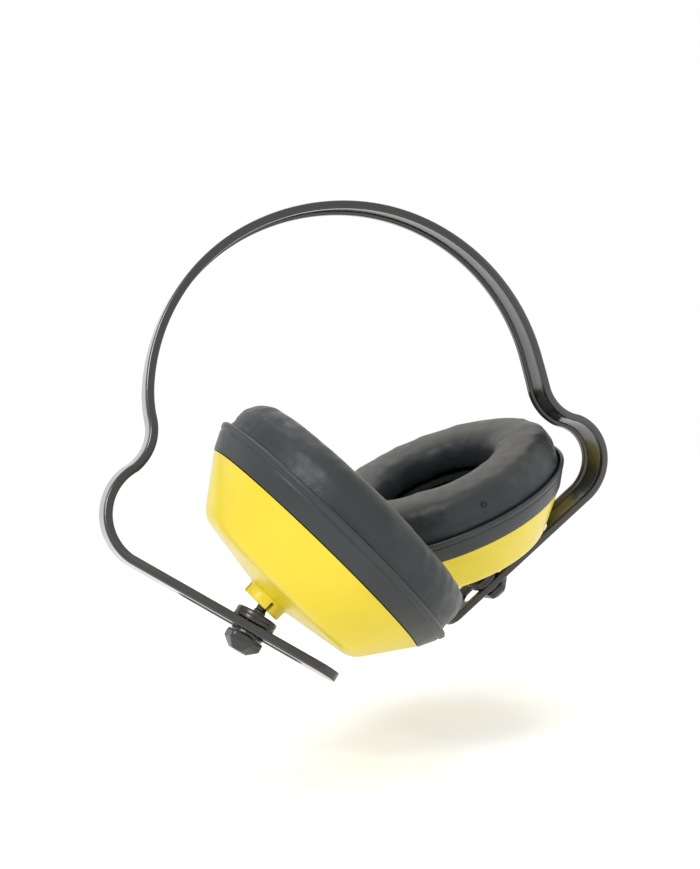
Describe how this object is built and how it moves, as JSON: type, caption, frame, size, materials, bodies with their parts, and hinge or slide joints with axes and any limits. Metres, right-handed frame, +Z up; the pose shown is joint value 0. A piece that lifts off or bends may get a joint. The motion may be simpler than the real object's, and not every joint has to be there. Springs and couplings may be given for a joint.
{
  "type": "hearing protection earmuffs",
  "caption": "Over-ear hearing protector: a slim dark plastic headband with slotted arms, and two round yellow cups on clamped ball joints with padded dark cushions.",
  "frame": {"origin": "middle of the crown of the headband, at the height of its inner rims, where it rests on the head", "axes": "+Z up through the crown, +X towards the cup on the viewer's right, -Y towards the viewer"},
  "size_m": [0.1986, 0.177, 0.1634],
  "materials": {
    "headband": "satin",
    "hardware": "satin",
    "shell": "satin-gloss",
    "rim": "satin",
    "cushion": "satin vinyl",
    "foam": "open-cell foam"
  },
  "bodies": {
    "headband": {"headband": "headband"},
    "slider_left": {"slide_collar_left": "hardware", "knob_washer_left": "hardware"},
    "knob_left": {"clamp_knob_left": "hardware"},
    "stud_left": {"ball_stud_left": "hardware"},
    "cup_left": {"cup_shell_left": "shell", "cup_rim_left": "rim", "cushion_plate_left": "rim", "cushion_cover_left": "cushion", "cushion_foam_left": "foam", "liner_foam_left": "foam"},
    "slider_right": {"slide_collar_right": "hardware", "knob_washer_right": "hardware"},
    "knob_right": {"clamp_knob_right": "hardware"},
    "stud_right": {"ball_stud_right": "hardware"},
    "cup_right": {"cup_shell_right": "shell", "cup_rim_right": "rim", "cushion_plate_right": "rim", "cushion_cover_right": "cushion", "cushion_foam_right": "foam", "liner_foam_right": "foam"}
  },
  "joints": [
    {"name": "slide_left", "type": "slide", "parent": "headband", "child": "slider_left", "axis": [0.777, -0.3166, -0.5441], "range_m": [-0.007, 0.009]},
    {"name": "knob_turn_left", "type": "hinge", "parent": "slider_left", "child": "knob_left", "pos_m": [-0.04852, -0.04232, -0.14148], "axis": [0.5975, 0.0992, 0.7957], "range_deg": [0, 360]},
    {"name": "swivel_left", "type": "hinge", "parent": "slider_left", "child": "stud_left", "pos_m": [-0.04123, -0.04111, -0.13178], "axis": [0.5975, 0.0992, 0.7957], "range_deg": [-30, 30]},
    {"name": "tilt_left", "type": "hinge", "parent": "stud_left", "child": "cup_left", "pos_m": [-0.04123, -0.04111, -0.13178], "axis": [0.3923, 0.8293, -0.398], "range_deg": [-16, 6]},
    {"name": "slide_right", "type": "slide", "parent": "headband", "child": "slider_right", "axis": [-0.7159, 0.3166, -0.6223], "range_m": [-0.001, 0.005]},
    {"name": "knob_turn_right", "type": "hinge", "parent": "slider_right", "child": "knob_right", "pos_m": [0.06111, 0.04454, -0.14304], "axis": [-0.6961, -0.2535, 0.6717], "range_deg": [0, 360]},
    {"name": "swivel_right", "type": "hinge", "parent": "slider_right", "child": "stud_right", "pos_m": [0.05262, 0.04145, -0.13484], "axis": [-0.6961, -0.2535, 0.6717], "range_deg": [-20, 30]},
    {"name": "tilt_right", "type": "hinge", "parent": "stud_right", "child": "cup_right", "pos_m": [0.05262, 0.04145, -0.13484], "axis": [-0.2292, 0.9651, 0.1268], "range_deg": [-35, 0.5]}
  ]
}
